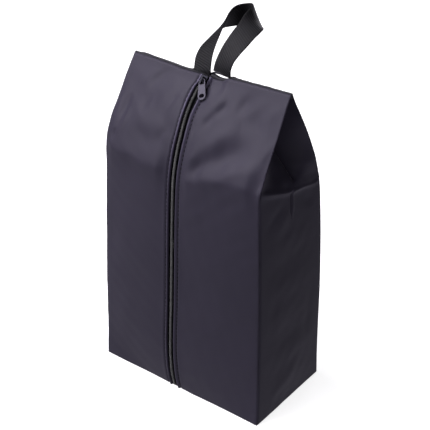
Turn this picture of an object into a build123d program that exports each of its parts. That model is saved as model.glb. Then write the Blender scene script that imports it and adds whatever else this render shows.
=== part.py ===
"""Shoe bag: a soft zipped carrier with a flat base, a gable top and a webbing carry loop.

Frame: millimetres, +X to the bag's right, +Y to its back, +Z up.
The origin is the middle of the base, on the surface that the bag stands on.
"""

import math
import os

from build123d import *

# Bag outline
WIDTH = 220.0
DEPTH = 122.0
SHOULDER_DEPTH = 112.0
SHOULDER_Z = 262.0
RIDGE_Z = 358.0
RIDGE_HALF_GAP = 3.5  # outer face of each panel from the ridge's middle plane
SHOULDER_SOFTNESS = 4.0  # rounds the fold between wall and gable

# Fabric
CLOTH = 1.0  # coated fabric with its seam allowance
BASE_CLOTH = 1.5  # doubled fabric of the base
CORNER_R = 3.0
PROFILE_LEVELS = 24  # heights at which a panel's outline is worked out

# Zip path: one circular arc in the middle plane, from the base seam to the ridge
ZIP_R = 450.0
ZIP_TOP_Y = -6.0
LIP_X = 5.5  # folded edge of each front panel, from the middle plane

# Zip chain. Heights are radial, outwards from the front panels' outer face
TAPE_INNER_X = 0.6
TAPE_OUTER_X = 13.0
TAPE_TOP = -1.3
TAPE_BOTTOM = -1.9
COIL_OUTER_X = 2.6
COIL_TOP = 0.5
COIL_BOTTOM = -1.25
STITCH_X = 9.0  # row of stitches that holds the tape
STITCH_WIDTH = 0.6
STITCH_HEIGHT = 0.35

# Zip slider
SLIDER_Z = 352.0  # height of its middle when closed
SLIDER_LENGTH = 11.0
SLIDER_NOSE_WIDTH = 8.6
SLIDER_TAIL_WIDTH = 7.2
PLATE_TOP = 2.1
PLATE_THICK = 1.2
UNDERPLATE_BOTTOM = -3.2
UNDERPLATE_THICK = 0.9
FLANGE_THICK = 0.9
FLANGE_BOTTOM = -0.9
POST_HALF_WIDTH = 0.35
PIVOT_HEIGHT = 3.7  # pull tab's pin above the chain's face
CROWN_WIDTH = 2.4
CROWN_HALF_GAP = 2.4
CROWN_LEG = 1.2
CROWN_UNDERSIDE = 5.1
CROWN_TOP = 6.3

# Pull tab
TAB_SKEW = 22.0  # degrees that the tab lies to the right of the zip
TAB_LENGTH = 21.5
TAB_TOP_HALF = 3.7
TAB_END_HALF = 4.7
TAB_THICK = 1.4
TAB_PIN_R = 0.7
EYE_HALF = 2.9
EYE_END = 4.9
TAB_HOLE_LENGTH = 6.2
TAB_HOLE_WIDTH = 4.0
TAB_HOLE_FROM_END = 4.4

# Side gusset's folded top
FOLD_APEX_X = 52.0
FOLD_APEX_Z = 353.0
FOLD_RIDGE_Y = 4.5
FOLD_SHOULDER_Y = 52.0
FOLD_OVERLAP = 0.6  # thickness shared along a fold, so that the plates join

# Seam bindings inside the bag
BINDING_WIDTH = 8.0
BINDING_THICK = 0.8
BINDING_GAP = 0.3
SEAM_BINDING_TOP = 250.0
RIDGE_BINDING_HALF = 2.2
RIDGE_BINDING_BOTTOM = 354.5
RIDGE_BINDING_TOP = 360.5

# Carry loop: flat webbing whose two ends are sewn side by side in the ridge
STRAP_WIDTH = 25.0
STRAP_THICK = 1.4
HANDLE_PIVOT_Z = 361.6
# Middle of the webbing and the direction across it, from the left end to the right end
STRAP_STATIONS = [
    ((-10.5, 0.0, 361.6), (1.0, 0.0, 0.0)),
    ((-13.5, 7.0, 372.0), (0.96, -0.05, 0.27)),
    ((-15.5, 16.0, 381.0), (0.93, -0.11, 0.34)),
    ((-17.0, 28.0, 388.5), (0.84, -0.20, 0.50)),
    ((-18.0, 40.5, 396.0), (0.72, -0.31, 0.62)),
    ((-16.5, 53.0, 401.5), (0.40, -0.40, 0.82)),
    ((-9.5, 63.5, 404.5), (0.00, -0.30, 0.95)),
    ((-2.0, 67.0, 405.5), (-0.11, -0.20, 0.97)),
    ((6.0, 66.5, 407.0), (-0.18, -0.21, 0.96)),
    ((14.0, 61.5, 407.5), (-0.38, -0.29, 0.88)),
    ((19.5, 53.5, 408.0), (-0.65, -0.35, 0.67)),
    ((23.0, 44.0, 406.5), (-0.88, -0.31, 0.35)),
    ((24.5, 34.5, 403.0), (-0.96, -0.17, 0.22)),
    ((23.5, 21.0, 395.0), (-0.97, -0.03, 0.25)),
    ((20.5, 8.5, 384.0), (-0.97, 0.14, 0.17)),
    ((17.0, 1.5, 371.0), (-0.97, 0.24, 0.11)),
    ((15.5, 0.0, 361.6), (-1.0, 0.0, 0.0)),
]

# Worked out from the driving dimensions
HALF_W = WIDTH / 2
HALF_D = DEPTH / 2
SIDE_X = HALF_W - CLOTH  # inner face of the gussets, where the panels end
LEVELS = [
    BASE_CLOTH + (RIDGE_Z - BASE_CLOTH) * i / (PROFILE_LEVELS - 1)
    for i in range(PROFILE_LEVELS)
]


def zip_arc_centre():
    """Middle (y, z) of the arc through the base seam and the ridge, behind the bag."""
    mid_y = (ZIP_TOP_Y - HALF_D) / 2
    mid_z = RIDGE_Z / 2
    rise_y = ZIP_TOP_Y + HALF_D
    chord = math.hypot(rise_y, RIDGE_Z)
    reach = math.sqrt(ZIP_R**2 - (chord / 2) ** 2)
    return mid_y + reach * RIDGE_Z / chord, mid_z - reach * rise_y / chord


ARC_Y, ARC_Z = zip_arc_centre()


def zip_y(z, height=0.0):
    """Front-to-back place of the zip path at height z; height stands out from the chain's face."""
    return ARC_Y - math.sqrt((ZIP_R + height) ** 2 - (z - ARC_Z) ** 2)


def side_half_depth(z):
    """Half of the bag's depth along its side seams: an upright wall that folds into a gable."""
    wall = HALF_D - (HALF_D - SHOULDER_DEPTH / 2) * z / SHOULDER_Z
    slope = (SHOULDER_DEPTH / 2 - RIDGE_HALF_GAP) / (RIDGE_Z - SHOULDER_Z)
    gable = RIDGE_HALF_GAP + slope * (RIDGE_Z - z)
    near = min(wall, gable)
    far = max(wall, gable)
    return near - SHOULDER_SOFTNESS * math.log1p(math.exp((near - far) / SHOULDER_SOFTNESS))


def front_y(x, z, height=0.0):
    """Front face: the zip's arc in the middle, changing evenly to the side seam's outline."""
    share = max(0.0, (abs(x) - LIP_X) / (SIDE_X - LIP_X))
    seam_y = -side_half_depth(z) - height
    return (1 - share) * zip_y(z, height) + share * seam_y


def profile_face(x, top, bottom):
    """Section of a front strip at x, between two heights above the front face."""
    outer = [Vector(x, front_y(x, z, top), z) for z in LEVELS]
    inner = [Vector(x, front_y(x, z, bottom), z) for z in LEVELS]
    edges = [
        Spline(*outer),
        Line(outer[-1], inner[-1]),
        Spline(*reversed(inner)),
        Line(inner[0], outer[0]),
    ]
    return Face(Wire(edges))


def front_strip(x_from, x_to, top, bottom):
    """Thin solid that follows the front face between two distances from the middle."""
    sections = [profile_face(x_from, top, bottom), profile_face(x_to, top, bottom)]
    return loft(sections, ruled=True)


def front_panel(side):
    return front_strip(side * LIP_X, side * SIDE_X, 0.0, -CLOTH)


def zip_tape(side):
    """Woven tape: flat beside the coil, then behind the front panel, where it is sewn."""
    beside_coil = front_strip(side * TAPE_INNER_X, side * LIP_X, TAPE_TOP, TAPE_BOTTOM)
    behind_panel = front_strip(side * LIP_X, side * TAPE_OUTER_X, TAPE_TOP, TAPE_BOTTOM)
    return beside_coil + behind_panel


def zip_coil(side):
    return front_strip(side * TAPE_INNER_X, side * COIL_OUTER_X, COIL_TOP, COIL_BOTTOM)


def zip_stitching(side):
    edges = (STITCH_X - STITCH_WIDTH / 2, STITCH_X + STITCH_WIDTH / 2)
    lowest = 0.05
    return front_strip(side * edges[0], side * edges[1], STITCH_HEIGHT, lowest)


def back_panel():
    """Plain panel with the same outline as the side seams, from base to ridge."""
    outer = [Vector(-SIDE_X, side_half_depth(z), z) for z in LEVELS]
    inner = [Vector(-SIDE_X, side_half_depth(z) - CLOTH, z) for z in LEVELS]
    edges = [
        Spline(*outer),
        Line(outer[-1], inner[-1]),
        Spline(*reversed(inner)),
        Line(inner[0], outer[0]),
    ]
    return extrude(Face(Wire(edges)), amount=2 * SIDE_X, dir=(1, 0, 0))


def fold_plate(corners):
    """Flat fabric of a fold, as a thin plate on both sides of its corners' plane."""
    outline = Polyline(*corners, close=True)
    return extrude(make_face(outline), amount=CLOTH / 2, both=True)


def side_gusset(side):
    """Side panel: an upright wall whose top folds inwards, like a milk carton's."""
    wall_levels = [z for z in LEVELS if z < SHOULDER_Z - BASE_CLOTH] + [SHOULDER_Z]
    wall_x = side * SIDE_X
    front = [Vector(wall_x, -side_half_depth(z), z) for z in wall_levels]
    back = [Vector(wall_x, side_half_depth(z), z) for z in wall_levels]
    edges = [
        Spline(*front),
        Line(front[-1], back[-1]),
        Spline(*reversed(back)),
        Line(back[0], front[0]),
    ]
    wall = extrude(Face(Wire(edges)), amount=CLOTH, dir=(side, 0, 0))

    fold_x = side * (SIDE_X + CLOTH / 2)
    apex_x = side * FOLD_APEX_X
    low_front = Vector(fold_x, -FOLD_SHOULDER_Y, SHOULDER_Z - FOLD_OVERLAP)
    low_back = Vector(fold_x, FOLD_SHOULDER_Y, SHOULDER_Z - FOLD_OVERLAP)
    apex_front = Vector(apex_x, -FOLD_RIDGE_Y, FOLD_APEX_Z)
    apex_back = Vector(apex_x, FOLD_RIDGE_Y, FOLD_APEX_Z)
    ridge_front = Vector(fold_x, -FOLD_RIDGE_Y, FOLD_APEX_Z)
    ridge_back = Vector(fold_x, FOLD_RIDGE_Y, FOLD_APEX_Z)
    inward_fold = fold_plate([low_front, low_back, apex_back, apex_front])
    front_flank = fold_plate([low_front, apex_front, ridge_front])
    back_flank = fold_plate([low_back, apex_back, ridge_back])
    return wall + inward_fold + front_flank + back_flank


def bottom_panel():
    outline = RectangleRounded(WIDTH, DEPTH, CORNER_R)
    return extrude(outline, amount=BASE_CLOTH)


def seam_binding(side, face):
    """Tape folded over the seam between a gusset and a panel, flat against the gusset."""
    levels = [z for z in LEVELS if 2 * BASE_CLOTH < z < SEAM_BINDING_TOP]
    near = CLOTH + BINDING_GAP
    far = near + BINDING_WIDTH
    x = side * (SIDE_X - BINDING_GAP)
    outer = [Vector(x, face * (side_half_depth(z) - near), z) for z in levels]
    inner = [Vector(x, face * (side_half_depth(z) - far), z) for z in levels]
    edges = [
        Spline(*outer),
        Line(outer[-1], inner[-1]),
        Spline(*reversed(inner)),
        Line(inner[0], outer[0]),
    ]
    return extrude(Face(Wire(edges)), amount=BINDING_THICK, dir=(-side, 0, 0))


def bottom_binding():
    """Tape over the base seam: an upright band just inside the four walls."""
    clear = CLOTH + BINDING_GAP + BINDING_THICK
    length = WIDTH - 2 * clear - 2 * BINDING_THICK
    depth = DEPTH - 2 * clear - 2 * BINDING_THICK
    outer = RectangleRounded(length, depth, CORNER_R)
    inner = RectangleRounded(
        length - 2 * BINDING_THICK, depth - 2 * BINDING_THICK, CORNER_R - BINDING_THICK
    )
    return Pos(0, 0, BASE_CLOTH) * extrude(outer - inner, amount=BINDING_WIDTH)


def ridge_binding():
    """Tape between the front and back panels along the ridge, with the loop's ends in it."""
    height = RIDGE_BINDING_TOP - RIDGE_BINDING_BOTTOM
    strip = Box(2 * SIDE_X, 2 * RIDGE_BINDING_HALF, height)
    return Pos(0, 0, (RIDGE_BINDING_TOP + RIDGE_BINDING_BOTTOM) / 2) * strip


def slider_plane():
    """Plane of the slider: x across the zip, y up along it, z out of the bag."""
    place = Vector(0, zip_y(SLIDER_Z), SLIDER_Z)
    outwards = (place - Vector(0, ARC_Y, ARC_Z)).normalized()
    return Plane(origin=place, x_dir=(1, 0, 0), z_dir=outwards)


def centred_box(width, length, low, high, x=0.0, y=0.0):
    return Pos(x, y, (low + high) / 2) * Box(width, length, high - low)


def slider_outline():
    half = SLIDER_LENGTH / 2
    tail = SLIDER_TAIL_WIDTH / 2
    nose = SLIDER_NOSE_WIDTH / 2
    shape = make_face(Polyline((-tail, -half), (tail, -half), (nose, half), (-nose, half), close=True))
    return fillet(shape.vertices(), radius=1.5)


def slider_body():
    """Two plates joined by a post between the tapes, with flanges and a crown for the tab."""
    outline = slider_outline()
    top_plate = Pos(0, 0, PLATE_TOP - PLATE_THICK) * extrude(outline, amount=PLATE_THICK)
    under_plate = Pos(0, 0, UNDERPLATE_BOTTOM) * extrude(outline, amount=UNDERPLATE_THICK)
    body = top_plate + under_plate
    plate_underside = PLATE_TOP - PLATE_THICK
    underplate_face = UNDERPLATE_BOTTOM + UNDERPLATE_THICK
    post_length = 3.0
    post_y = SLIDER_LENGTH / 2 - 1.0 - post_length / 2
    body += centred_box(2 * POST_HALF_WIDTH, post_length, underplate_face, plate_underside, y=post_y)
    inset = extrude(offset(outline, -FLANGE_THICK), amount=PLATE_TOP - FLANGE_BOTTOM)
    rim = extrude(outline, amount=plate_underside - FLANGE_BOTTOM) - inset
    open_ends = Box(SLIDER_TAIL_WIDTH - 2 * FLANGE_THICK, 2 * SLIDER_LENGTH, 4 * PLATE_TOP)
    body += Pos(0, 0, FLANGE_BOTTOM) * (rim - open_ends)
    leg_y = CROWN_HALF_GAP + CROWN_LEG / 2
    for end in (-1, 1):
        body += centred_box(CROWN_WIDTH, CROWN_LEG, plate_underside, CROWN_TOP, y=end * leg_y)
    crown_length = 2 * (CROWN_HALF_GAP + CROWN_LEG)
    body += centred_box(CROWN_WIDTH, crown_length, CROWN_UNDERSIDE, CROWN_TOP)
    return slider_plane() * body


def pull_tab():
    """Flat tab with an eye around the slider's crown and an oval hole near its round end."""
    end_y = -TAB_LENGTH + TAB_END_HALF
    outline = make_face(
        Polyline(
            (-TAB_TOP_HALF, 0),
            (TAB_TOP_HALF, 0),
            (TAB_END_HALF, end_y),
            (-TAB_END_HALF, end_y),
            close=True,
        )
    )
    outline += Pos(0, end_y) * Circle(TAB_END_HALF)
    eye = Pos(0, -EYE_END / 2) * RectangleRounded(2 * EYE_HALF, EYE_END, 1.0)
    hole_y = -TAB_LENGTH + TAB_HOLE_FROM_END
    hole = Pos(0, hole_y) * SlotOverall(TAB_HOLE_LENGTH, TAB_HOLE_WIDTH)
    plate = extrude(outline - eye - hole, amount=TAB_THICK / 2, both=True)
    pin = Rot(0, 90, 0) * Cylinder(TAB_PIN_R, 2 * TAB_TOP_HALF)
    return slider_plane() * Pos(0, 0, PIVOT_HEIGHT) * Rot(0, 0, TAB_SKEW) * (plate + pin)


def strap_section(index):
    """Rectangle of webbing across the loop at one station."""
    place, across = STRAP_STATIONS[index]
    before = Vector(*STRAP_STATIONS[max(index - 1, 0)][0])
    after = Vector(*STRAP_STATIONS[min(index + 1, len(STRAP_STATIONS) - 1)][0])
    along = (after - before).normalized()
    if index in (0, len(STRAP_STATIONS) - 1):
        along = Vector(0, 0, 1 if index == 0 else -1)
    side_way = Vector(*across)
    side_way = (side_way - along * side_way.dot(along)).normalized()
    section = Plane(origin=place, x_dir=side_way, z_dir=along)
    return section * Rectangle(STRAP_WIDTH, STRAP_THICK)


def handle_strap():
    """Webbing loop, lofted one stretch at a time so that no stretch turns inside out."""
    sections = [strap_section(i) for i in range(len(STRAP_STATIONS))]
    strap = Part()
    for lower, upper in zip(sections, sections[1:]):
        strap += loft([lower, upper], ruled=True)
    return strap


def write(name, shape):
    export_step(shape, f"parts/{name}.step")


os.makedirs("parts", exist_ok=True)
for side_name, side in (("left", -1), ("right", 1)):
    write(f"front_panel_{side_name}", front_panel(side))
    write(f"side_gusset_{side_name}", side_gusset(side))
    write(f"zip_tape_{side_name}", zip_tape(side))
    write(f"zip_coil_{side_name}", zip_coil(side))
    write(f"zip_stitching_{side_name}", zip_stitching(side))
    for face_name, face in (("front", -1), ("back", 1)):
        write(f"seam_binding_{face_name}_{side_name}", seam_binding(side, face))
write("back_panel", back_panel())
write("bottom_panel", bottom_panel())
write("bottom_binding", bottom_binding())
write("ridge_binding", ridge_binding())
write("slider_body", slider_body())
write("pull_tab", pull_tab())
write("handle_strap", handle_strap())
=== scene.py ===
"""Looks of the shoe bag: sewn cloth panels, zip chain, webbing loop, floor, light and camera.

Lengths in the tables are millimetres in the frame's axes: +X right, +Y back, +Z up.
"""
import math

import bpy
import numpy as np
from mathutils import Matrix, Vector


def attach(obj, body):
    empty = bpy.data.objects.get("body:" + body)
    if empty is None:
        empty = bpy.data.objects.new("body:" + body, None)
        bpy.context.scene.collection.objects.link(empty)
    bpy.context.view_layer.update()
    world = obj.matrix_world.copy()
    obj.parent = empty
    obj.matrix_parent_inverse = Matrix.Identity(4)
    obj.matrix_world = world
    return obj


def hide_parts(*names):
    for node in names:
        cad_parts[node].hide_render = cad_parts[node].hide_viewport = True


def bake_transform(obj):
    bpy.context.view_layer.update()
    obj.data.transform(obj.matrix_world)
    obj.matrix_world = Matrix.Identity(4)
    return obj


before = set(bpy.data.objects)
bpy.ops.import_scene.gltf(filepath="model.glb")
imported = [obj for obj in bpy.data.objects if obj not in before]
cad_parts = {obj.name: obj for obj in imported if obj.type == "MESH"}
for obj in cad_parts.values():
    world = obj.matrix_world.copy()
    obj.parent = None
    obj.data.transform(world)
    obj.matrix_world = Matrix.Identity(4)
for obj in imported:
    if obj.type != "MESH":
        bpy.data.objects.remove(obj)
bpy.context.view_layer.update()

MM = 0.001
TOP = 358.0  # height that every seam's table ends at
CLOTH = 0.55  # thickness of one layer

# Height, x, y of each upright seam's sharp line, base to ridge
SEAMS = {
    "front_left": [(0, -111.0, -62.4), (30, -110.8, -60.6), (100, -110.4, -58.2), (190, -108.6, -54.6),
                   (250, -107.0, -52.2), (271, -106.6, -50.6), (286, -106.4, -47.0), (303, -106.2, -38.8),
                   (330, -105.8, -21.2), (358, -105.4, -1.8)],
    "front_right": [(0, 115.4, -62.4), (25, 115.0, -60.6), (64, 114.4, -59.6), (130, 113.6, -59.0),
                    (190, 112.4, -58.8), (225, 111.2, -58.6), (245, 110.4, -58.6), (262, 109.8, -58.6),
                    (271, 110.0, -57.8), (279, 109.6, -54.0), (300, 107.8, -40.6), (330, 105.2, -20.4),
                    (358, 102.8, -1.8)],
    "back_right": [(0, 109.4, 64.4), (30, 109.6, 62.4), (71, 109.8, 61.0), (110, 109.8, 60.6), (179, 109.8, 57.0),
                   (225, 109.7, 52.6), (246, 109.6, 50.0), (257, 109.5, 47.6), (266, 109.3, 44.6),
                   (283, 108.8, 38.2), (297, 108.0, 32.2), (311, 107.0, 25.8), (325, 105.8, 18.8),
                   (338, 104.6, 11.8), (350, 103.4, 5.4), (358, 102.8, 1.8)],
    "back_left": [(0, -110.8, 64.0), (71, -110.4, 60.6), (130, -109.8, 59.0), (200, -108.2, 54.8),
                  (246, -107.0, 50.4), (262, -106.6, 46.8), (280, -106.4, 39.4), (305, -106.0, 28.4),
                  (330, -105.7, 15.8), (358, -105.4, 1.8)],
}
# Height, x, y of the zip's middle, on the fabric's outer face
ZIP_PATH = [(0, -1.6, -62.6), (12, -1.7, -65.9), (33, -1.6, -68.9), (60, -1.2, -69.9), (118, 0.2, -68.4),
            (190, 0.8, -66.0), (236, 0.4, -63.2), (260, 0.1, -60.9), (282, 0.0, -56.0), (302, -0.2, -48.6),
            (320, -1.6, -38.8), (335, -3.1, -26.8), (345, -3.8, -16.4), (352, -1.6, -9.8), (358, -0.3, -5.8)]
# How far the upper part of the gable stands above or below the seams' heights, along x
RIDGE_SAG = [(-106, 3.4), (-62, 1.6), (-24, -1.0), (0, -0.8), (31, 0.9), (64, 0.4), (104, -0.6)]
# The ridge's short dip beside the loop, on top of that
RIDGE_DIP = [(0, 0.0), (5, -0.8), (9, -2.2), (15, -3.4), (20, -3.5), (24.5, -1.6), (28.5, 0.3), (34, 0.0)]


# ---------------------------------------------------------------- curves and small maths

def through(knots):
    """Smooth curve, with no overshoot, through rows of (place, value, ...)."""
    table = np.array(knots, float)
    place, value = table[:, 0], table[:, 1:]
    step = np.diff(place)[:, None]
    slope = np.diff(value, axis=0) / step
    tangent = np.zeros_like(value)
    same = slope[:-1] * slope[1:] > 0
    left = 2 * step[1:] + step[:-1]
    right = step[1:] + 2 * step[:-1]
    safe_a = np.where(same, slope[:-1], 1)
    safe_b = np.where(same, slope[1:], 1)
    tangent[1:-1] = np.where(same, (left + right) / (left / safe_a + right / safe_b), 0)
    tangent[0], tangent[-1] = slope[0], slope[-1]

    def curve(at):
        at = np.clip(np.asarray(at, float), place[0], place[-1])
        i = np.clip(np.searchsorted(place, at, side="right") - 1, 0, len(place) - 2)
        h = (place[i + 1] - place[i])[..., None]
        t = (at - place[i])[..., None] / h
        start = value[i] * (1 + 2 * t) * (1 - t) ** 2 + tangent[i] * h * t * (1 - t) ** 2
        end = value[i + 1] * t * t * (3 - 2 * t) + tangent[i + 1] * h * t * t * (t - 1)
        return start + end

    return curve


SEAM = {name: through(knots) for name, knots in SEAMS.items()}
ZIP = through(ZIP_PATH)
SAG = through(RIDGE_SAG)
DIP = through(RIDGE_DIP)


def smooth(low, high, at):
    """0 below low, 1 above high, smooth between."""
    t = np.clip((np.asarray(at, float) - low) / (high - low), 0, 1)
    return t * t * (3 - 2 * t)


def rolled(distance, radius):
    """How far a rounded edge of that radius falls away at a distance from its sharp line."""
    short = np.clip(radius - distance, 0, radius)
    return radius - np.sqrt(np.maximum(radius**2 - short**2, 0))


def normals(grid):
    """Unit normals of a grid of points."""
    across = np.gradient(grid, axis=1)
    along = np.gradient(grid, axis=0)
    n = np.cross(across, along)
    return n / np.maximum(np.linalg.norm(n, axis=2, keepdims=True), 1e-9)


def ripple(u, v, seed, size, count=9):
    """Soft unevenness of cloth: a fixed sum of slow waves, about -1 to 1."""
    rng = np.random.default_rng(seed)
    total = 0
    for _ in range(count):
        turn, phase = rng.uniform(0, math.tau, 2)
        length = size * rng.uniform(0.6, 1.8)
        total = total + np.sin((u * math.cos(turn) + v * math.sin(turn)) * math.tau / length + phase)
    return total / math.sqrt(count)


def crease(u, v, start, end, width, height):
    """One soft fold from start to end: raised if height is positive, pressed in if negative."""
    (ax, ay), (bx, by) = start, end
    length2 = (bx - ax) ** 2 + (by - ay) ** 2
    t = ((u - ax) * (bx - ax) + (v - ay) * (by - ay)) / length2
    near = np.clip(t, 0, 1)
    off = np.hypot(u - ax - near * (bx - ax), v - ay - near * (by - ay))
    taper = np.sin(np.clip(near, 0.02, 0.98) * math.pi) ** 0.6
    return height * taper * np.exp(-((off / width) ** 2))


# ---------------------------------------------------------------- mesh builders

def make_piece(name, verts, faces, material, uv=None):
    mesh = bpy.data.meshes.new(name)
    mesh.from_pydata([tuple(v) for v in np.asarray(verts) * MM], [], faces)
    if uv is not None:
        layer = mesh.uv_layers.new(name="cloth")
        index = np.zeros(len(mesh.loops), np.int32)
        mesh.loops.foreach_get("vertex_index", index)
        layer.data.foreach_set("uv", (np.asarray(uv)[index] * MM).ravel())
    mesh.materials.append(material)
    mesh.shade_smooth()
    mesh.update()
    obj = bpy.data.objects.new(name, mesh)
    bpy.context.scene.collection.objects.link(obj)
    return obj


def grid_faces(rows, columns, flip):
    faces = []
    for r in range(rows - 1):
        for c in range(columns - 1):
            a = r * columns + c
            quad = (a, a + 1, a + columns + 1, a + columns)
            faces.append(quad[::-1] if flip else quad)
    return faces


def cloth_uv(grid):
    """Flat coordinates of a grid, measured along its middle row and column."""
    rows, columns = grid.shape[:2]
    across = np.linalg.norm(np.diff(grid[rows // 2], axis=0), axis=1)
    along = np.linalg.norm(np.diff(grid[:, columns // 2], axis=0), axis=1)
    u = np.concatenate([[0], np.cumsum(across)])
    v = np.concatenate([[0], np.cumsum(along)])
    return np.stack(np.meshgrid(u, v), -1).reshape(-1, 2)


def cloth_sheet(name, grid, outwards, material, thickness=CLOTH):
    """Sheet of cloth whose outer face is the grid, with its thickness on the inside."""
    n = normals(grid)
    flip = float((n.reshape(-1, 3) @ np.array(outwards, float)).mean()) < 0
    rows, columns = grid.shape[:2]
    obj = make_piece(
        name, grid.reshape(-1, 3), grid_faces(rows, columns, flip), material, cloth_uv(grid)
    )
    solid = obj.modifiers.new("thickness", "SOLIDIFY")
    solid.thickness = thickness * MM
    solid.offset = -1
    return obj


def round_outline(radius, sides=6):
    return [(radius * math.cos(k * math.tau / sides), radius * math.sin(k * math.tau / sides)) for k in range(sides)]


def tube_along(points, frames, outline):
    """Sweeps a closed outline along points; frames give each point's two cross directions."""
    verts = []
    for point, (a, b) in zip(points, frames):
        verts.extend(point + a * x + b * y for x, y in outline)
    n = len(outline)
    faces = []
    for r in range(len(points) - 1):
        for k in range(n):
            j = (k + 1) % n
            faces.append((r * n + k, r * n + j, (r + 1) * n + j, (r + 1) * n + k))
    faces.append(tuple(range(n))[::-1])
    faces.append(tuple(range((len(points) - 1) * n, len(points) * n)))
    return verts, faces


# ---------------------------------------------------------------- materials

def new_material(name, color, roughness, sheen=0.0, sheen_roughness=0.5, specular=0.5, metallic=0.0):
    material = bpy.data.materials.new(name)
    material.use_nodes = True
    shader = material.node_tree.nodes["Principled BSDF"]
    shader.inputs["Base Color"].default_value = (*color, 1)
    shader.inputs["Roughness"].default_value = roughness
    shader.inputs["Sheen Weight"].default_value = sheen
    shader.inputs["Sheen Roughness"].default_value = sheen_roughness
    shader.inputs["Specular IOR Level"].default_value = specular
    shader.inputs["Metallic"].default_value = metallic
    return material


def node(material, kind, **values):
    made = material.node_tree.nodes.new(kind)
    for key, value in values.items():
        if key in made.inputs:
            made.inputs[key].default_value = value
        else:
            setattr(made, key, value)
    return made


def wire(material, out, into):
    material.node_tree.links.new(out, into)


def add_weave(material, pitch, strength, distance):
    """Woven relief in the cloth's own flat coordinates: two crossed sets of threads."""
    uv = node(material, "ShaderNodeUVMap", uv_map="cloth")
    heights = []
    for direction in ("X", "Y"):
        wave = node(material, "ShaderNodeTexWave", Scale=math.tau / pitch / 20)
        wave.wave_type = "BANDS"
        wave.bands_direction = direction
        wire(material, uv.outputs["UV"], wave.inputs["Vector"])
        heights.append(wave.outputs["Fac"])
    both = node(material, "ShaderNodeMath", operation="MULTIPLY")
    wire(material, heights[0], both.inputs[0])
    wire(material, heights[1], both.inputs[1])
    bump = node(material, "ShaderNodeBump", Strength=strength, Distance=distance)
    wire(material, both.outputs[0], bump.inputs["Height"])
    shader = material.node_tree.nodes["Principled BSDF"]
    wire(material, bump.outputs["Normal"], shader.inputs["Normal"])
    return both.outputs[0]


def add_variation(material, color_a, color_b, scale, detail=4.0, low=0.35, high=0.65):
    """Slow change between two colours across the cloth."""
    place = node(material, "ShaderNodeTexCoord")
    noise = node(material, "ShaderNodeTexNoise", Scale=scale, Detail=detail)
    wire(material, place.outputs["Object"], noise.inputs["Vector"])
    ramp = node(material, "ShaderNodeValToRGB")
    ramp.color_ramp.elements[0].position = low
    ramp.color_ramp.elements[0].color = (*color_a, 1)
    ramp.color_ramp.elements[1].position = high
    ramp.color_ramp.elements[1].color = (*color_b, 1)
    wire(material, noise.outputs["Fac"], ramp.inputs["Fac"])
    shader = material.node_tree.nodes["Principled BSDF"]
    wire(material, ramp.outputs["Color"], shader.inputs["Base Color"])
    return noise


def shell_material(name, lip_highlight=None):
    material = new_material(name, (0.026, 0.023, 0.036), 0.55, sheen=0.06, sheen_roughness=0.4, specular=0.2)
    add_variation(material, (0.0290, 0.0262, 0.0400), (0.0335, 0.0300, 0.0460), 9.0)
    add_weave(material, 0.0007, 0.25, 0.00012)
    # the front halves get a painted highlight along the folded lip beside the zip
    if lip_highlight:
        add_painted_lip_highlight(material, lip_highlight)
    return material


# Painted highlight along the folded lip: share of the reach below, in from the hidden edge of the cloth, and how much
# lighter than plain cloth it is painted there
LIP_HIGHLIGHT = [(0.30, 0.0), (0.42, 0.9), (0.56, 0.9), (0.66, 0.0)]
LIP_HIGHLIGHT_REACH = 0.02
# Heights between which the painted highlight grows from its least share to its greatest
HIGHLIGHT_RISE = (0.25, 0.33)
LEAST_HIGHLIGHT = 0.5


def add_painted_lip_highlight(material, top):
    """Painted highlight: lightens the folded edge beside the zip where the light catches its rounded crest, most
    towards the top.
    """
    uv = node(material, "ShaderNodeUVMap", uv_map="cloth")
    split = node(material, "ShaderNodeSeparateXYZ")
    wire(material, uv.outputs["UV"], split.inputs["Vector"])
    place = node(material, "ShaderNodeMapRange")
    place.inputs["From Max"].default_value = LIP_HIGHLIGHT_REACH
    wire(material, split.outputs["X"], place.inputs["Value"])
    ramp = node(material, "ShaderNodeValToRGB")
    stops = ramp.color_ramp.elements
    stops[0].position, stops[1].position = LIP_HIGHLIGHT[0][0], LIP_HIGHLIGHT[-1][0]
    for position, _ in LIP_HIGHLIGHT[1:-1]:
        stops.new(position)
    for stop, (_, tone) in zip(stops, LIP_HIGHLIGHT):
        stop.color = (tone, tone, tone, 1)
    wire(material, place.outputs["Result"], ramp.inputs["Fac"])
    rise = node(material, "ShaderNodeMapRange")
    rise.inputs["From Min"].default_value, rise.inputs["From Max"].default_value = HIGHLIGHT_RISE
    rise.inputs["To Min"].default_value = LEAST_HIGHLIGHT
    rise.inputs["To Max"].default_value = top
    wire(material, split.outputs["Y"], rise.inputs["Value"])
    painted_highlight = node(material, "ShaderNodeMath", operation="MULTIPLY")
    wire(material, ramp.outputs["Color"], painted_highlight.inputs[0])
    wire(material, rise.outputs["Result"], painted_highlight.inputs[1])
    gain = node(material, "ShaderNodeVectorMath", operation="MULTIPLY_ADD")
    shader = material.node_tree.nodes["Principled BSDF"]
    cloth = shader.inputs["Base Color"].links[0].from_socket
    wire(material, cloth, gain.inputs[0])
    wire(material, painted_highlight.outputs[0], gain.inputs[1])
    wire(material, cloth, gain.inputs[2])
    wire(material, gain.outputs["Vector"], shader.inputs["Base Color"])


RIB_PITCH = 0.0027
RIB_SLANT = (0.5, 1.0, 0.0)


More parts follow.
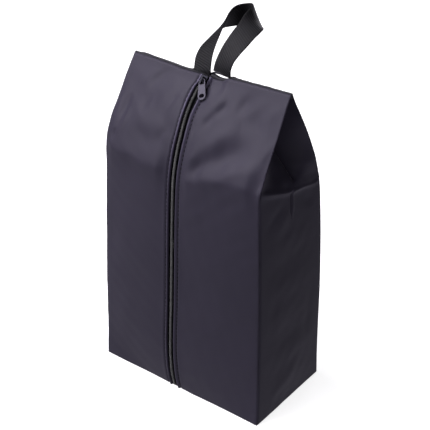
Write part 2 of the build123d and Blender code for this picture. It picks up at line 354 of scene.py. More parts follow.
def webbing_material():
    material = new_material("webbing", (0.006, 0.006, 0.007), 0.6, sheen=0.06, sheen_roughness=0.35, specular=0.2)
    uv = node(material, "ShaderNodeUVMap", uv_map="cloth")
    slant = node(material, "ShaderNodeVectorMath", operation="DOT_PRODUCT")
    slant.inputs[1].default_value = RIB_SLANT
    wire(material, uv.outputs["UV"], slant.inputs[0])
    rib = node(material, "ShaderNodeTexWave", Scale=math.tau / RIB_PITCH / 20)
    wire(material, slant.outputs["Value"], rib.inputs["Vector"])
    tone = node(material, "ShaderNodeValToRGB")
    tone.color_ramp.elements[0].position = 0.25
    tone.color_ramp.elements[0].color = (0.0022, 0.0022, 0.0027, 1)
    tone.color_ramp.elements[1].position = 0.8
    tone.color_ramp.elements[1].color = (0.0088, 0.0087, 0.0104, 1)
    wire(material, rib.outputs["Fac"], tone.inputs["Fac"])
    bump = node(material, "ShaderNodeBump", Strength=0.6, Distance=0.0004)
    wire(material, rib.outputs["Fac"], bump.inputs["Height"])
    # the selvedge is woven tighter and looks darker
    split = node(material, "ShaderNodeSeparateXYZ")
    wire(material, uv.outputs["UV"], split.inputs["Vector"])
    out = node(material, "ShaderNodeMath", operation="ABSOLUTE")
    wire(material, split.outputs["X"], out.inputs[0])
    edge = node(material, "ShaderNodeMapRange")
    for name, value in (("From Min", 0.0108), ("From Max", 0.0120), ("To Min", 1.0), ("To Max", 0.3)):
        edge.inputs[name].default_value = value
    wire(material, out.outputs[0], edge.inputs["Value"])
    dark = node(material, "ShaderNodeVectorMath", operation="MULTIPLY")
    wire(material, tone.outputs["Color"], dark.inputs[0])
    wire(material, edge.outputs["Result"], dark.inputs[1])
    shader = material.node_tree.nodes["Principled BSDF"]
    wire(material, dark.outputs["Vector"], shader.inputs["Base Color"])
    wire(material, bump.outputs["Normal"], shader.inputs["Normal"])
    return material


def tape_material():
    # The near-black colour is painted shade of the deep grooves either side of the coil
    material = new_material("zip_tape_cloth", (0.003, 0.003, 0.004), 0.8, specular=0.1)
    add_variation(material, (0.002, 0.002, 0.003), (0.004, 0.004, 0.005), 200.0)
    add_weave(material, 0.0008, 0.4, 0.00015)
    return material


def coil_material():
    material = new_material("zip_coil_nylon", (0.085, 0.088, 0.084), 0.45, specular=0.4)
    add_variation(material, (0.070, 0.073, 0.068), (0.105, 0.108, 0.102), 250.0)
    return material


def thread_material():
    # The thread is darker than the cloth; part of that darkness is painted shade of the dimple the stitches sit in
    material = new_material("thread", (0.005, 0.0045, 0.007), 0.6, specular=0.2)
    add_variation(material, (0.003, 0.0028, 0.004), (0.008, 0.0075, 0.011), 300.0)
    return material


def binding_material():
    material = new_material("binding_cloth", (0.012, 0.012, 0.015), 0.75)
    add_variation(material, (0.009, 0.009, 0.012), (0.016, 0.016, 0.020), 120.0)
    add_weave(material, 0.0009, 0.4, 0.0002)
    return material


def metal_material(name, color, roughness):
    material = new_material(name, color, roughness, metallic=1.0)
    place = node(material, "ShaderNodeTexCoord")
    noise = node(material, "ShaderNodeTexNoise", Scale=900.0, Detail=3.0)
    wire(material, place.outputs["Object"], noise.inputs["Vector"])
    bump = node(material, "ShaderNodeBump", Strength=0.15, Distance=0.0001)
    wire(material, noise.outputs["Fac"], bump.inputs["Height"])
    shader = material.node_tree.nodes["Principled BSDF"]
    wire(material, bump.outputs["Normal"], shader.inputs["Normal"])
    rough = node(material, "ShaderNodeMapRange")
    rough.inputs["To Min"].default_value = roughness - 0.06
    rough.inputs["To Max"].default_value = roughness + 0.08
    wire(material, noise.outputs["Fac"], rough.inputs["Value"])
    wire(material, rough.outputs["Result"], shader.inputs["Roughness"])
    return material


SHELL = shell_material("shell_nylon")
# Each front half carries a painted highlight on its zip lip, stronger on the left half, which the lamps light from the
# left
SHELL_FRONT = {
    -1: shell_material("shell_nylon_front_left", lip_highlight=2.4),
    1: shell_material("shell_nylon_front_right", lip_highlight=1.7),
}
WEBBING = webbing_material()
TAPE = tape_material()
COIL = coil_material()
THREAD = thread_material()
BINDING = binding_material()
# The slider's metal is much darker than the tab's: painted shade of the body, which is seen in shadow through the tab's
# slot
SLIDER_METAL = metal_material("slider_metal", (0.022, 0.022, 0.027), 0.34)
TAB_METAL = metal_material("tab_metal", (0.060, 0.058, 0.070), 0.42)


# ---------------------------------------------------------------- front panels

WALL_ROLL = 3.2  # roundness of the upright corners
GABLE_ROLL = 1.1  # and of the folded edge above the shoulder
FLOOR_ROLL = 1.6
# Heights of the rows in that last roundness
FLOOR_ROWS = FLOOR_ROLL * np.array([0.13, 0.22, 0.36, 0.55, 0.78, 1.0])
# Share of a corner's roundness that its cloth stops short of the sharp line, on the walls and above them
WALL_END = 0.29
GABLE_END = 0.03


def heights(count=150):
    """Rows from floor to ridge, close together where the cloth rolls under."""
    return np.concatenate([FLOOR_ROWS, np.linspace(FLOOR_ROLL * 1.6, TOP, count)])


def seam_roll(z):
    """Radius of a seam's rounded edge at a height, and where along it the cloth ends."""
    folded = smooth(255, 285, z)
    radius = WALL_ROLL + (GABLE_ROLL - WALL_ROLL) * folded
    ends = radius * (WALL_END + (GABLE_END - WALL_END) * folded)
    return radius, ends


def ridge_lift(x, z):
    return SAG(x)[..., 0] * smooth(290, TOP, z) + DIP(x)[..., 0] * smooth(343, TOP, z)


# How far the folded edge of each front panel stands from the zip's middle
LIP_EDGE = {-1: 4.3, 1: 5.0}
# Cross-section of that edge: distance out from it, height above the cloth
LIP_SECTION = [(5.5, -2.3), (3.2, -2.35), (1.6, -2.3), (0.7, -2.0), (0.2, -1.4), (0.0, -0.7), (0.0, 0.0), (0.2, 0.75),
               (0.6, 1.3), (1.1, 1.5), (1.7, 1.35), (2.3, 0.9), (2.9, 0.2), (3.4, -0.45), (3.9, -0.75), (4.4, -0.7),
               (5.0, -0.3), (5.7, 0.1), (6.7, 0.25), (8.0, 0.12), (10.0, 0.0)]
FOLDED_UNDER = 6  # how many of those points are on the inside of the fold
STITCH_OUT = 3.9


# Height of the fold between wall and gable, along x
FOLD_LINE = through([(-106, 275.0), (-97, 273.0), (-83, 268.5), (-66, 270.0), (-42, 266.5), (-20, 268.0), (-8, 267.0),
                     (12, 266.0), (30, 266.0), (42, 270.0), (61, 272.5), (84, 275.0), (106, 277.0)])


def front_relief(side, x, z):
    """Wrinkles and softness of a front half, in millimetres out of the cloth."""
    calm = smooth(4, 22, np.abs(x)) * (1 - 0.6 * smooth(340, 358, z))
    off = z - FOLD_LINE(x)[..., 0]
    reach = np.where(off > 0, 24.0, 20.0)
    fold = 4.4 * np.exp(-(np.sqrt(off**2 + 6.0) - 2.45) / reach)
    fold = fold * smooth(7, 24, np.abs(x)) * (1 - smooth(92, 107, np.abs(x)))
    lively = 0.45 + 0.55 * smooth(235, 290, z)
    relief = 0.55 * ripple(x, z, 11 if side < 0 else 12, 70.0) * lively
    relief = relief + 0.32 * ripple(x, z, 21 if side < 0 else 22, 26.0) * lively
    for start, end, width, height in FRONT_CREASES[side]:
        relief = relief + crease(x, z, start, end, width, height)
    return relief * calm + fold


# Start (x, z), end (x, z), width and height of each crease
FRONT_CREASES = {
    1: [((36, 283), (84, 308), 9.5, -3.5), ((18, 263), (38, 286), 7.5, -2.3), ((14, 284), (66, 322), 9.0, 1.8),
        ((44, 272), (100, 292), 9.0, 1.9), ((31, 327), (41, 339), 4.0, -1.8), ((22, 316), (31, 328), 4.0, -1.5),
        ((15, 342), (28, 352), 5.0, -1.1), ((22, 330), (32, 341), 4.5, 0.9), ((52, 330), (62, 350), 6.0, -1.4),
        ((60, 318), (92, 330), 9.0, -1.2), ((99, 292), (103, 320), 4.0, 0.8), ((80, 326), (96, 346), 7.0, 0.9)],
    -1: [((-66, 336), (-45, 358), 5.0, -1.6), ((-76, 336), (-58, 353), 6.0, 0.9), ((-90, 300), (-87, 322), 4.0, -1.6),
         ((-96, 276), (-92, 290), 3.5, -1.5), ((-84, 286), (-80, 312), 4.0, 0.9), ((-100, 300), (-97, 330), 4.0, 0.9),
         ((-74, 291), (-20, 289), 10.0, -1.4), ((-80, 305), (-26, 302), 9.0, 1.1), ((-30, 290), (-16, 312), 5.0, -1.2),
         ((-46, 318), (-30, 348), 8.0, 1.4), ((-24, 318), (-13, 346), 5.0, 1.2), ((-66, 312), (-58, 330), 5.0, -1.1)],
}


def front_surface(side, distance, z):
    """Outer face of a front half at a distance from the zip's middle."""
    middle = ZIP(z)
    seam = SEAM["front_left" if side < 0 else "front_right"](z)
    span = np.abs(seam[..., 0] - middle[..., 0])
    share = np.clip(distance / span, 0, 1)
    x = middle[..., 0] + side * distance
    fullness = 3.4 * smooth(0, 70, z) * (1 - 0.75 * smooth(225, 275, z)) - 1.2 * smooth(285, 330, z)
    y = middle[..., 1] * (1 - share) + seam[..., 1] * share - fullness * np.sin(math.pi * share) ** 0.8
    # the tab's weight presses the cloth in
    y = y + 3.8 * np.exp(-(((x - 6.0) / 6.5) ** 2) - ((z - 339) / 10.0) ** 2)
    return np.stack([x, y, z + ridge_lift(x, z)], -1)


def front_grid(side):
    z_rows = heights()
    seam = SEAM["front_left" if side < 0 else "front_right"](z_rows)
    middle = ZIP(z_rows)
    span = np.abs(seam[:, 0] - middle[:, 0])
    radius, ends = seam_roll(z_rows)
    lip_out = LIP_EDGE[side] + np.array([d for d, _ in LIP_SECTION])
    lip_up = np.array([h for _, h in LIP_SECTION])
    flat_share = np.linspace(0, 1, 44)[1:]
    start = lip_out[-1]
    last = span - radius
    flat = start + (last[:, None] - start) * flat_share[None, :]
    roll_steps = np.linspace(0, 1, 7)[1:]
    roll = last[:, None] + (radius - ends)[:, None] * np.sin(roll_steps * math.pi / 2)[None, :]
    distance = np.concatenate([np.broadcast_to(lip_out, (len(z_rows), len(lip_out))), flat, roll], 1)
    z = np.broadcast_to(z_rows[:, None], distance.shape)
    grid = front_surface(side, distance, z)
    n = normals(grid)
    n = np.where((n[..., 1] > 0)[..., None], -n, n)
    lift = np.zeros(distance.shape)
    lift[:, : len(lip_up)] = lip_up
    flat_zone = distance >= lip_out[-1]
    outside = np.arange(distance.shape[1]) >= FOLDED_UNDER
    lift = lift + np.where(flat_zone | outside[None, :], front_relief(side, grid[..., 0], z), 0)
    lift = lift - rolled(span[:, None] - distance, radius[:, None])
    lift = lift - rolled(z, FLOOR_ROLL)
    return grid + n * lift[..., None]


# ---------------------------------------------------------------- back panel

BACK_CREASES = [((-70, 262), (-10, 284), 10.0, -1.8), ((10, 280), (70, 258), 10.0, 1.5),
                ((-50, 300), (-20, 336), 8.0, 1.2), ((30, 330), (62, 300), 8.0, -1.3),
                ((-80, 40), (-30, 70), 12.0, 0.9), ((20, 120), (80, 90), 14.0, -0.9)]


def back_grid():
    z_rows = heights()
    left, right = SEAM["back_left"](z_rows), SEAM["back_right"](z_rows)
    radius, ends = seam_roll(z_rows)
    span = right[:, 0] - left[:, 0]
    steps = np.linspace(0, 1, 7)[1:]
    curl = (radius - ends)[:, None] * np.sin(steps * math.pi / 2)[None, :]
    body = radius[:, None] + (span - 2 * radius)[:, None] * np.linspace(0, 1, 90)[None, :]
    distance = np.concatenate([radius[:, None] - curl[:, ::-1], body, span[:, None] - radius[:, None] + curl], 1)
    share = distance / span[:, None]
    z = np.broadcast_to(z_rows[:, None], distance.shape)
    x = left[:, :1] + distance
    fullness = 5.0 * smooth(0, 80, z) * (1 - 0.7 * smooth(225, 270, z))
    y = left[:, 1:] * (1 - share) + right[:, 1:] * share + fullness * np.sin(math.pi * share) ** 0.8
    grid = np.stack([x, y, z + ridge_lift(x, z)], -1)
    n = normals(grid)
    n = np.where((n[..., 1] < 0)[..., None], -n, n)
    lively = 0.45 + 0.55 * smooth(235, 290, z)
    lift = 0.7 * ripple(x, z, 31, 75.0) * lively + 0.25 * ripple(x, z, 32, 28.0) * lively
    for start, end, width, height in BACK_CREASES:
        lift = lift + crease(x, z, start, end, width, height)
    lift = lift * smooth(0, 12, np.minimum(distance, span[:, None] - distance))
    lift = lift - rolled(np.minimum(distance, span[:, None] - distance), radius[:, None])
    lift = lift - rolled(z, FLOOR_ROLL)
    return grid + n * lift[..., None]


# ---------------------------------------------------------------- side gussets

FOLD_TOP = 352.0
# Share of the way from front to back, and the height at which the side folds inwards there
SHOULDER = through([(0, 271.0), (0.22, 264.0), (0.48, 257.6), (0.70, 255.0), (0.93, 252.0), (1, 257.0)])
# Height, x and y of the fold's valley on the right-hand side
VALLEY = through([(250, 110.2, -5.0), (257, 110.0, -3.0), (262, 109.0, 0.0), (268, 106.4, 3.6), (277, 98.6, 4.6),
                  (287, 88.6, 4.6), (296, 80.0, 4.4), (307, 71.0, 4.0), (320, 62.5, 3.0), (335, 57.0, 1.5),
                  (352, 54.0, 0.0)])


def gusset_grid(side):
    """Side wall up to the shoulder, then two flanks that fold inwards and meet in a valley."""
    front = SEAM["front_left" if side < 0 else "front_right"]
    back = SEAM["back_left" if side < 0 else "back_right"]
    edge = 0.965 + 0.035 * np.sin(np.linspace(0, 1, 7) * math.pi / 2)
    inner = np.linspace(0, 1, 44) ** 1.6 * 0.965
    half = np.concatenate([inner[:-1], edge])
    across = np.concatenate([-half[:0:-1], half])
    low = FLOOR_ROWS
    wall_rows, fold_rows = 96, 78
    shoulder = SHOULDER((across + 1) / 2)[:, 0]
    rise = np.linspace(0, 1, wall_rows + 1)[1:, None]
    fold = (np.linspace(0, 1, fold_rows + 1)[1:, None]) ** 1.15
    z = np.concatenate([
        np.broadcast_to(low[:, None], (len(low), len(across))),
        low[-1] + (shoulder[None, :] - low[-1]) * rise,
        shoulder[None, :] + (FOLD_TOP - shoulder[None, :]) * fold,
    ])
    s = np.broadcast_to(across[None, :], z.shape)
    share = (s + 1) / 2
    f, b = front(z), back(z)
    radius, ends = seam_roll(z)
    folded = smooth(254, 284, z)
    # the wall and the fold share one rule: straight from each edge to the middle line
    edge_f = f[..., 1] + ends * (1 - folded) + 1.5 * folded
    edge_b = b[..., 1] - ends * (1 - folded) - 1.5 * folded
    middle_y = (edge_f + edge_b) / 2
    valley = VALLEY(z)
    in_fold = smooth(-4, 6, z - shoulder[None, :])
    valley_y = middle_y * (1 - in_fold) + valley[..., 1] * in_fold
    wall_x = f[..., 0] * (1 - share) + b[..., 0] * share
    valley_x = valley[..., 0] if side > 0 else -(valley[..., 0] - 3.6)
    valley_x = wall_x * (1 - in_fold) + valley_x * in_fold
    side_x = np.where(s < 0, f[..., 0], b[..., 0]) - side * 0.5 * folded
    side_y = np.where(s < 0, edge_f, edge_b)
    t = 1 - np.abs(s)
    plain = side_x * (1 - t) + valley_x * t
    x = wall_x * (1 - in_fold) + plain * in_fold
    y = side_y * (1 - t) + valley_y * t
    # slack in each flank bulges it outwards
    fullness = np.where(s < 0, -3.0, 5.5)
    bulge = fullness * smooth(262, 282, z) * (1 - smooth(315, 345, z))
    x = x + side * bulge * np.sin(math.pi * t) ** 0.9 * in_fold
    # the valley is a tight crease, and a short one runs down the wall below it
    off = y - valley_y
    slit = 5.5 * smooth(264, 271, z) * (1 - smooth(325, 345, z))
    x = x - side * slit * np.exp(-np.abs(off / 2.2) ** 1.3)
    below = 1.9 * smooth(226, 240, z) * (1 - in_fold) * np.exp(-(((y + 4.5) / 1.3) ** 2))
    ridge = 0.9 * smooth(226, 240, z) * (1 - in_fold) * np.exp(-(((y + 1.6) / 1.5) ** 2))
    x = x - side * (below - ridge)
    # rim along the shoulder, where the cloth turns over
    rim = 2.1 * np.exp(-(((z - shoulder[None, :] - 0.5) / 2.4) ** 2)) * np.sin(math.pi * t / 2) ** 0.5
    x = x + side * rim
    hollow = (2.0 * smooth(60, 240, z) - 1.6 * smooth(0, 60, z)) * (1 - in_fold)
    x = x - side * hollow * np.cos(s * math.pi / 2)
    corner = np.minimum(y - f[..., 1], b[..., 1] - y)
    x = x - side * rolled(np.maximum(corner, 0), radius) * (1 - folded)
    x = x - side * rolled(z, FLOOR_ROLL)
    soft = np.cos(s * math.pi / 2)
    x = x + side * soft * (0.4 * ripple(y, z, 41 + side, 60.0) + 0.1 * ripple(y, z, 45 + side, 22.0)) * (1 - in_fold)
    x = x + side * soft * 0.9 * ripple(y, z, 51 + side, 24.0) * in_fold
    for start, end, width, height in SIDE_CREASES:
        x = x + side * crease(y, z, start, end, width, height) * soft
    z = z + ridge_lift(x, z)
    return np.stack([x, y, z], -1)


# Start (y, z), end (y, z), width and height of soft folds in each side wall
SIDE_CREASES = [((-50, 228), (-20, 246), 5.0, -0.9), ((-44, 214), (-6, 236), 7.0, 0.7),
                ((10, 246), (38, 232), 6.0, -0.8), ((-40, 20), (20, 44), 10.0, 0.8),
                ((-46, 90), (-30, 150), 9.0, -0.7), ((30, 60), (38, 130), 8.0, -0.7)]


# ---------------------------------------------------------------- base

def base_grid():
    """Flat base, just inside the rolled lower edges of the walls."""
    u = np.linspace(-1, 1, 61)
    v = np.linspace(-1, 1, 41)
    inset = FLOOR_ROLL * 0.45
    grid = np.zeros((len(v), len(u), 3))
    for r, b in enumerate(v):
        for c, a in enumerate(u):
            front_x = -111.0 + inset + (226.4 - 2 * inset) * (a + 1) / 2
            back_x = -110.8 + inset + (220.2 - 2 * inset) * (a + 1) / 2
            x = front_x * (1 - b) / 2 + back_x * (1 + b) / 2
            y = (-62.4 + inset) * (1 - b) / 2 + (64.2 - inset) * (1 + b) / 2
            grid[r, c] = (x, y, 0.35)
    return grid


# ---------------------------------------------------------------- zip

def zip_frame(z):
    """Points of the zip's middle with the directions across it and out of it."""
    middle = ZIP(z)
    lift = ridge_lift(middle[:, 0], z)
    points = np.stack([middle[:, 0], middle[:, 1], z + lift], -1)
    along = np.gradient(points, axis=0)
    along /= np.linalg.norm(along, axis=1, keepdims=True)
    across = np.tile([1.0, 0.0, 0.0], (len(z), 1))
    across -= along * (across * along).sum(1, keepdims=True)
    across /= np.linalg.norm(across, axis=1, keepdims=True)
    out = np.cross(across, along)
    return points, along, across, out


TAPE_TOP = -2.5
COIL_MIDDLE = -0.5
COIL_RISE = 0.8
COIL_PITCH = 1.6
COIL_THREAD = 0.38


def zip_tape(side):
    z = np.linspace(1.2, TOP, 170)
    points, _, across, out = zip_frame(z)
    stations = np.array([0.5, 0.9, 1.8, 2.8, 3.8, 5.0, 6.5, 8.0, 10.0, 12.0, 13.4])
    grid = np.zeros((len(z), len(stations), 3))
    for c, d in enumerate(stations):
        flat = points + across * side * d
        cloth = front_surface(side, np.full(len(z), d), z)
        share = smooth(4, 9, d)
        place = flat * (1 - share) + cloth * share
        grid[:, c] = place + out * TAPE_TOP
    return cloth_sheet(f"tape_{'left' if side < 0 else 'right'}", grid, (0, -1, 0), TAPE, 0.5)


def coil_row(side):
    """One continuous nylon filament wound in flat turns, with its loops at the zip's middle."""
    z0, z1 = 2.0, TOP - 1.0
    dense = np.linspace(z0, z1, 900)
    points, _, _, _ = zip_frame(dense)
    length = np.concatenate([[0], np.cumsum(np.linalg.norm(np.diff(points, axis=0), axis=1))])
    turns = int(length[-1] / COIL_PITCH)
    per_turn = 12
    t = np.arange(turns * per_turn + 1) / per_turn
    phase = t + (0.5 if side > 0 else 0.0)
    z = np.interp(t * COIL_PITCH, length, dense)
    base, along, across, out = zip_frame(z)
    angle = phase * math.tau
    reach_in, reach_out = -0.4, 1.35
    mid = (reach_in + reach_out) / 2
    half = (reach_out - reach_in) / 2
    x = mid - half * np.cos(angle)
    squared = np.sign(np.sin(angle)) * np.abs(np.sin(angle)) ** 0.6
    y = COIL_MIDDLE + COIL_RISE * squared
    path = base + across * (side * x)[:, None] + out * y[:, None]
    tangent = np.gradient(path, axis=0)
    tangent /= np.linalg.norm(tangent, axis=1, keepdims=True)
    a = np.cross(tangent, along)
    a /= np.maximum(np.linalg.norm(a, axis=1, keepdims=True), 1e-6)
    b = np.cross(tangent, a)
    verts, faces = tube_along(path, list(zip(a, b)), round_outline(COIL_THREAD))
    return make_piece(f"coil_{'left' if side < 0 else 'right'}", verts, faces, COIL)


STITCH_THREAD = 0.6
STITCH_PITCH = 4.6
STITCH_DASH = 2.8


def stitch_row(side):
    """Lockstitch dashes in the dimple beside the zip, a little uneven as a domestic machine leaves them."""
    out_from_middle = LIP_EDGE[side] + STITCH_OUT
    dense = np.linspace(6, TOP - 3, 900)
    line = front_surface(side, np.full(len(dense), out_from_middle), dense)
    length = np.concatenate([[0], np.cumsum(np.linalg.norm(np.diff(line, axis=0), axis=1))])
    rng = np.random.default_rng(71 + side)
    verts, faces = [], []
    for k in range(int(length[-1] / STITCH_PITCH)):
        long = STITCH_DASH * rng.uniform(0.7, 1.1)
        s = k * STITCH_PITCH + long * np.linspace(0, 1, 6)
        z = np.interp(s, length, dense)
        base, along, across, out = zip_frame(z)
        place = front_surface(side, np.full(len(z), out_from_middle + rng.uniform(-0.15, 0.15)), z)
        arch = -0.75 + 0.35 * np.sin(np.linspace(0, math.pi, 6))
        place = place + out * arch[:, None]
        v, f = tube_along(place, list(zip(across, out)), round_outline(STITCH_THREAD))
        start = len(verts)
        verts.extend(v)
        faces.extend(tuple(i + start for i in face) for face in f)
    return make_piece(f"stitches_{'left' if side < 0 else 'right'}", verts, faces, THREAD)


# ---------------------------------------------------------------- seams inside, and the ridge

def seam_tape(corner):
    """Binding folded over an upright seam, standing in from the corner."""
    face, side = corner.split("_")
    z = np.linspace(6, 246, 80)
    seam = SEAM[corner](z)
    inwards = np.array([-1.0 if side == "right" else 1.0, 1.0 if face == "front" else -1.0, 0.0]) / math.sqrt(2)
    grid = np.zeros((len(z), 5, 3))
    for c, d in enumerate(np.linspace(2.6, 10.5, 5)):
        grid[:, c, :2] = seam + inwards[:2] * d
        grid[:, c, 2] = z
    return cloth_sheet(f"seam_tape_{corner}", grid, (inwards[1], inwards[0], 0), BINDING, 0.9)


def base_tape():
    """Binding around the base seam, inside the walls."""
    inset = 3.4
    corner = 4.0
    outline = []
    x0, x1, y0, y1 = -110 + inset, 110 - inset, -61.5 + inset, 63 - inset
    for cx, cy, first in ((x1 - corner, y1 - corner, 0), (x0 + corner, y1 - corner, 90),
                          (x0 + corner, y0 + corner, 180), (x1 - corner, y0 + corner, 270)):
        for k in range(6):
            turn = math.radians(first + 18 * k)
            outline.append((cx + corner * math.cos(turn), cy + corner * math.sin(turn)))
    outline.append(outline[0])
    grid = np.array([[(x, y, z) for x, y in outline] for z in (1.6, 4.0, 6.5, 9.0)])
    return cloth_sheet("base_tape", grid, (0, 0, 0.01), BINDING, 0.8)


def ridge_piece(name, points, outline, uv_step):
    """Sweeps an upright outline along the ridge."""
    frames = [(np.array([0.0, 1.0, 0.0]), np.array([0.0, 0.0, 1.0]))] * len(points)
    verts, faces = tube_along(points, frames, outline)
    uv = np.zeros((len(verts), 2))
    uv[:, 0] = np.repeat(points[:, 0], len(outline))
    uv[:, 1] = np.tile(np.arange(len(outline)), len(points)) * uv_step
    return make_piece(name, verts, faces, BINDING, uv)


def ridge_seam():
    """Folded edge where the two gables are sewn together."""
    x = np.linspace(-105.2, 102.6, 180)
    z = TOP + ridge_lift(x, TOP) + 0.15 * ripple(x, x * 0, 61, 14.0, 5)
    points = np.stack([x, 0.25 * ripple(x, x * 0, 62, 30.0, 5), z], -1)
    outline = [(1.3, -5.0), (1.45, -1.2), (1.25, 0.1), (0.75, 0.75), (0.2, 0.95), (-0.2, 0.95), (-0.75, 0.75),
               (-1.25, 0.1), (-1.45, -1.2), (-1.3, -5.0)]
    return ridge_piece("ridge_seam", points, outline, 1.2)


def loop_hem():
    """Narrow folded hem that bridges the ridge's dip and holds the loop's right-hand end."""
    path = catmull([(0.5, 0.3, 356.4), (3.0, 0.3, 358.6), (6.5, 0.2, 359.8), (12.0, 0.1, 360.2), (18.0, 0.0, 359.7),
                    (24.0, 0.0, 358.9), (28.5, 0.0, 357.6), (32.0, 0.0, 356.2)], 8)
    outline = [(0.75, -0.7), (0.85, 0.0), (0.75, 0.8), (0.3, 1.15), (-0.3, 1.15), (-0.75, 0.8), (-0.85, 0.0),
               (-0.75, -0.7), (-0.3, -1.0), (0.3, -1.0)]
    return ridge_piece("loop_hem", path, outline, 0.6)


# ---------------------------------------------------------------- webbing loop

# Middle of the webbing and the direction across it, from the left end to the right end
STRAP = [((-10.5, -0.8, 356.0), (1.0, -0.02, 0.15)), ((-10.5, 0.0, 361.0), (0.96, -0.05, 0.27)),
         ((-13.5, 6.5, 372.0), (0.96, -0.05, 0.27)), ((-15.5, 16.0, 381.0), (0.93, -0.11, 0.34)),
         ((-17.0, 28.0, 388.5), (0.84, -0.20, 0.50)), ((-18.0, 40.5, 396.0), (0.72, -0.31, 0.62)),
         ((-17.5, 49.0, 400.0), (0.52, -0.40, 0.76)), ((-15.0, 57.0, 402.5), (0.24, -0.39, 0.89)),
         ((-9.5, 63.5, 404.5), (0.00, -0.30, 0.95)), ((-2.0, 67.0, 405.5), (-0.11, -0.20, 0.97)),
         ((6.0, 66.0, 407.0), (-0.18, -0.20, 0.96)), ((13.3, 60.9, 407.3), (-0.30, -0.22, 0.93)),
         ((18.7, 52.8, 407.2), (-0.50, -0.24, 0.83)), ((22.2, 43.0, 405.4), (-0.82, -0.14, 0.55)),
         ((23.9, 33.6, 401.6), (-0.94, -0.08, 0.34)), ((24.0, 25.5, 398.0), (-0.96, -0.06, 0.27)),
         ((23.0, 17.0, 392.0), (-0.97, 0.02, 0.25)), ((21.0, 10.0, 385.5), (-0.97, 0.12, 0.19)),
         ((18.5, 4.0, 377.5), (-0.97, 0.21, 0.13)), ((16.5, 0.5, 368.5), (-0.98, 0.20, 0.10)),
         ((15.5, 0.0, 360.0), (-1.0, 0.1, 0.05))]
STRAP_WIDTH = 25.0
STRAP_THICK = 1.35


def catmull(values, count):
    """Catmull-Rom curve through every value, count steps to each."""
    v = np.array(values, float)
    v = np.vstack([2 * v[0] - v[1], v, 2 * v[-1] - v[-2]])
    out = []
    for i in range(1, len(v) - 2):
        for t in np.linspace(0, 1, count, endpoint=False):
            p0, p1, p2, p3 = v[i - 1], v[i], v[i + 1], v[i + 2]
            out.append(0.5 * (2 * p1 + (p2 - p0) * t + (2 * p0 - 5 * p1 + 4 * p2 - p3) * t**2
                              + (3 * p1 - p0 - 3 * p2 + p3) * t**3))
    out.append(v[-2])
    return np.array(out)


def webbing_loop():
    path = catmull([p for p, _ in STRAP], 6)
    across = catmull([a for _, a in STRAP], 6)
    tangent = np.gradient(path, axis=0)
    tangent /= np.linalg.norm(tangent, axis=1, keepdims=True)
    across -= tangent * (across * tangent).sum(1, keepdims=True)
    across /= np.linalg.norm(across, axis=1, keepdims=True)
    face = np.cross(across, tangent)
    w, t = STRAP_WIDTH / 2, STRAP_THICK / 2
    half = [(-w + 0.5, t), *[(x, t) for x in np.linspace(-w + 1.4, w - 1.4, 13)], (w - 0.5, t), (w, t * 0.35)]
    outline = half + [(-x, -y) for x, y in half]
    verts, faces = tube_along(path, list(zip(across, face)), outline)
    length = np.concatenate([[0], np.cumsum(np.linalg.norm(np.diff(path, axis=0), axis=1))])
    uv = np.zeros((len(verts), 2))
    uv[:, 0] = np.tile([x for x, _ in outline], len(path))
    uv[:, 1] = np.repeat(length, len(outline))
    return make_piece("webbing_loop", verts, faces, WEBBING, uv)


# ---------------------------------------------------------------- assembly

def build_bag():
    """Builds every cloth panel, the zip, the seam bindings, the ridge and the loop, and hides the CAD parts they
    replace.
    """
    for side, name in ((-1, "left"), (1, "right")):
        front = cloth_sheet(f"front_cloth_{name}", front_grid(side), (0, -1, 0.2), SHELL_FRONT[side])
        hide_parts(f"front_panel_{name}")
        gusset = cloth_sheet(f"gusset_cloth_{name}", gusset_grid(side), (side, 0, 0.1), SHELL)
        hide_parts(f"side_gusset_{name}")
        tape = zip_tape(side)
        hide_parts(f"zip_tape_{name}")
        coil = coil_row(side)
        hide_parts(f"zip_coil_{name}")
        stitches = stitch_row(side)
        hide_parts(f"zip_stitching_{name}")
        bindings = []
        for face in ("front", "back"):
            binding = seam_tape(f"{face}_{name}")
            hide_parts(f"seam_binding_{face}_{name}")
            bindings.append(binding)
        for piece in (front, gusset, tape, coil, stitches, *bindings):
            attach(piece, "bag")
    back = cloth_sheet("back_cloth", back_grid(), (0, 1, 0.2), SHELL)
    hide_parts("back_panel")
    base = cloth_sheet("base_cloth", base_grid(), (0, 0, -1), SHELL, 0.9)
    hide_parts("bottom_panel")
    tape = base_tape()
    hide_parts("bottom_binding")
    ridge = ridge_seam()
    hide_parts("ridge_binding")
    hem = loop_hem()
    for piece in (back, base, tape, ridge, hem):
        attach(piece, "bag")
    loop = webbing_loop()
    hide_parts("handle_strap")
    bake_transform(loop)


def finish_cad_nodes():
    for name, material in (("slider_body", SLIDER_METAL), ("pull_tab", TAB_METAL)):
        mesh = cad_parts[name].data
        mesh.materials.clear()
        mesh.materials.append(material)


# ---------------------------------------------------------------- studio

KEY_POWER = 90.0
LEFT_POWER = 28.0
RIGHT_POWER = 8.0
BACK_POWER = 16.0
ROOM_EVEN = 0.02
# How much brighter the room is from straight below: the pale floor throws light back up
ROOM_BELOW = 0.92
ROOM_COLOR = (0.91, 0.87, 1.0, 1)
LAMP_COLOR = (0.95, 0.91, 1.0)


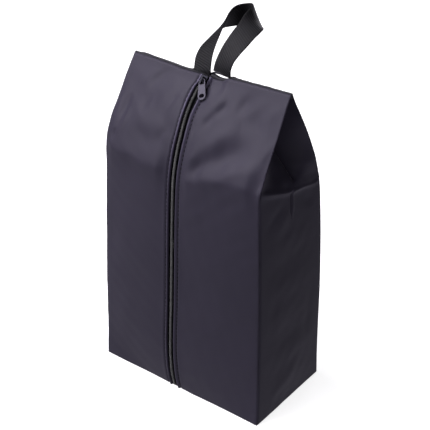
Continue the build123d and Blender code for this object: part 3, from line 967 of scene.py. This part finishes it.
def studio():
    half = 9.0
    floor_mesh = bpy.data.meshes.new("studio_floor")
    floor_mesh.from_pydata([(-half, -half, 0), (half, -half, 0), (half, half, 0), (-half, half, 0)], [], [(0, 1, 2, 3)])
    paper = new_material("floor_paper", (0.62, 0.62, 0.62), 0.9, specular=0.0)
    shader = paper.node_tree.nodes["Principled BSDF"]
    shader.inputs["Emission Color"].default_value = (1, 1, 1, 1)
    shader.inputs["Emission Strength"].default_value = 0.85
    floor_mesh.materials.append(paper)
    floor = bpy.data.objects.new("studio_floor", floor_mesh)
    bpy.context.scene.collection.objects.link(floor)
    # The floor is much brighter than the dark cloth, and its bounce would wash the cloth out
    floor.visible_diffuse = False
    floor.visible_glossy = False

    build_world()
    area_light("key", (-0.85, -0.75, 2.25), 2.2, KEY_POWER)
    area_light("left_card", (-1.6, -2.1, 1.15), 1.3, LEFT_POWER)
    area_light("right_card", (2.2, -1.3, 0.7), 1.3, RIGHT_POWER)
    area_light("back_card", (-0.7, 2.4, 0.8), 1.3, BACK_POWER)
    bpy.context.scene.view_settings.view_transform = "Standard"


def build_world():
    """Soft room light: an even part, and a part that grows downwards."""
    world = bpy.data.worlds.new("studio")
    bpy.context.scene.world = world
    world.use_nodes = True
    tree = world.node_tree
    background = tree.nodes["Background"]
    place = tree.nodes.new("ShaderNodeTexCoord")
    facing = tree.nodes.new("ShaderNodeVectorMath")
    facing.operation = "DOT_PRODUCT"
    facing.inputs[1].default_value = (0, 0, -1)
    tree.links.new(place.outputs["Generated"], facing.inputs[0])
    below = tree.nodes.new("ShaderNodeMapRange")
    below.inputs["To Max"].default_value = ROOM_BELOW
    tree.links.new(facing.outputs["Value"], below.inputs["Value"])
    even = tree.nodes.new("ShaderNodeMath")
    even.inputs[1].default_value = ROOM_EVEN
    tree.links.new(below.outputs["Result"], even.inputs[0])
    background.inputs["Color"].default_value = ROOM_COLOR
    tree.links.new(even.outputs[0], background.inputs["Strength"])


def area_light(name, place, size, power):
    data = bpy.data.lights.new(name, "AREA")
    data.shape = "DISK"
    data.size = size
    data.energy = power
    data.color = LAMP_COLOR
    light = bpy.data.objects.new(name, data)
    light.location = place
    light.rotation_euler = (Vector((0, 0, 0.25)) - Vector(place)).to_track_quat("-Z", "Y").to_euler()
    bpy.context.scene.collection.objects.link(light)


def camera():
    data = bpy.data.cameras.new("camera")
    data.lens = 80.86
    data.sensor_width = 36.0
    data.clip_start = 0.05
    eye = bpy.data.objects.new("camera", data)
    eye.location = (607.8 * MM, -738.5 * MM, 666.3 * MM)
    target = Vector((6.36 * MM, 0.0, 197.21 * MM))
    eye.rotation_euler = (target - eye.location).to_track_quat("-Z", "Y").to_euler()
    bpy.context.scene.collection.objects.link(eye)
    bpy.context.scene.camera = eye


camera()
build_bag()
finish_cad_nodes()
studio()
